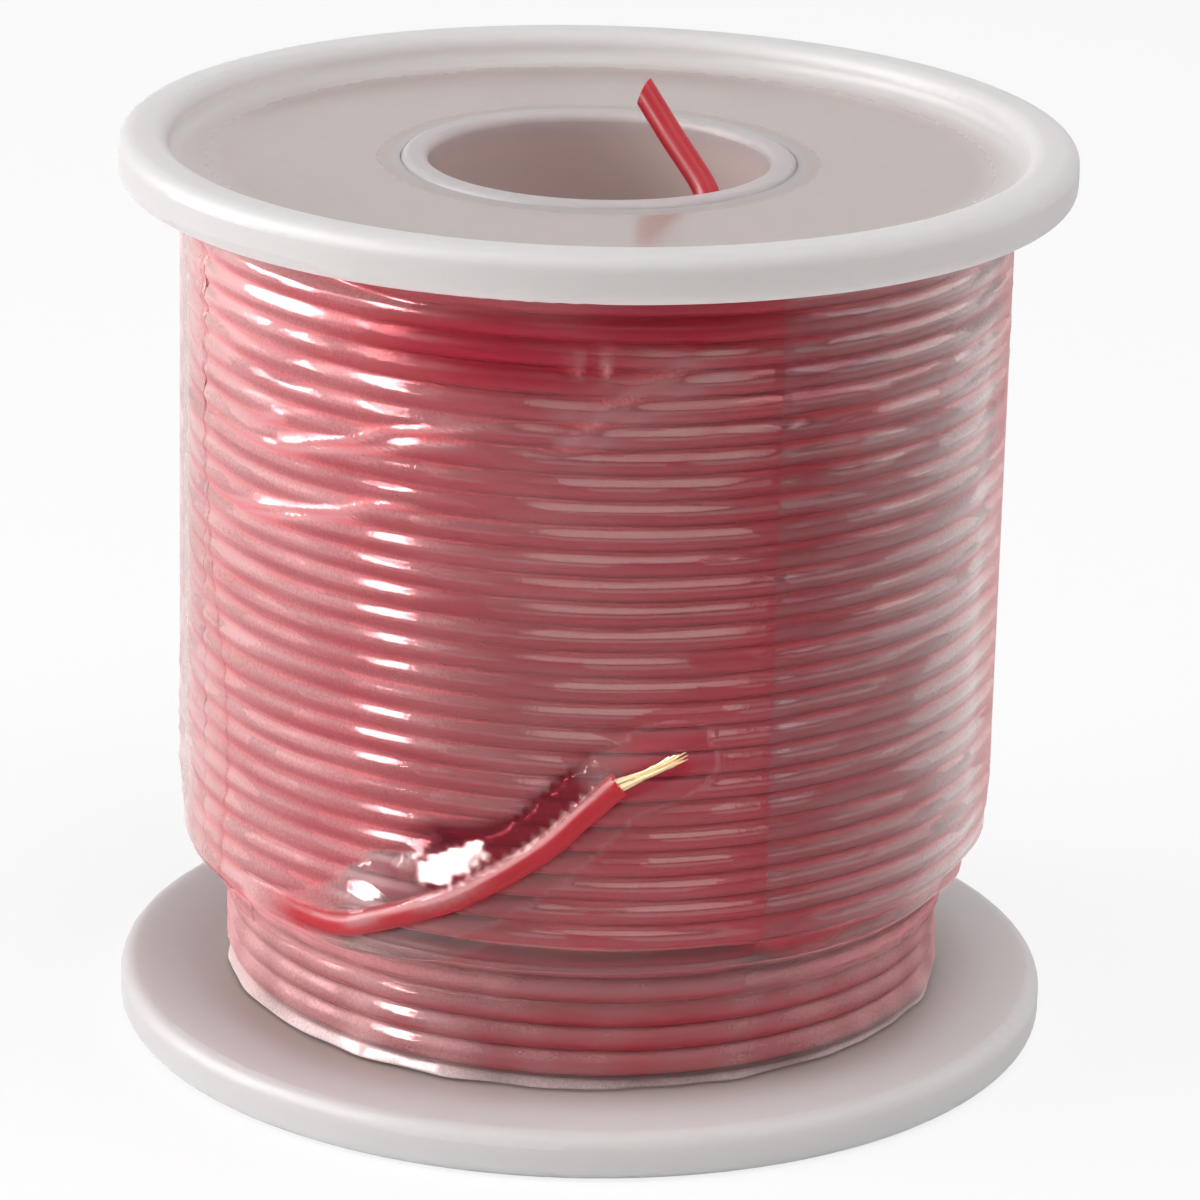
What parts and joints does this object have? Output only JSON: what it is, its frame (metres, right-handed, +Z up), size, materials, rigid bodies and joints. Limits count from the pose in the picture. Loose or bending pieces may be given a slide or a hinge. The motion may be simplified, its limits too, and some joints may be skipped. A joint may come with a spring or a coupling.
{
  "type": "wire spool",
  "caption": "Small plastic spool wound with red insulated hook-up wire in level layers and wrapped in clear stretch film, with one wire end standing up out of the bore.",
  "frame": {"origin": "centre of the circle that the bottom rim stands on", "axes": "+Z up along the bore, +X to the right and -Y to the front, where the finish end of the wire lies"},
  "size_m": [0.07, 0.07, 0.0723],
  "materials": {
    "spool_plastic": "natural translucent moulded plastic, softly glossy",
    "wire_insulation": "red PVC insulation, satin",
    "copper": "bare stranded copper",
    "stretch_film": "clear glossy film, wrinkled"
  },
  "bodies": {
    "root": {"barrel": "spool_plastic", "top_flange": "spool_plastic", "bottom_flange": "spool_plastic", "wire_inner_layers": "wire_insulation", "wire_outer_layer": "wire_insulation", "wire_lower_turns": "wire_insulation", "start_tail_insulation": "wire_insulation", "start_tail_conductor": "copper", "finish_tail_insulation": "wire_insulation", "finish_tail_strands": "copper", "film_wrap": "stretch_film", "film_skirt": "stretch_film"}
  },
  "joints": []
}
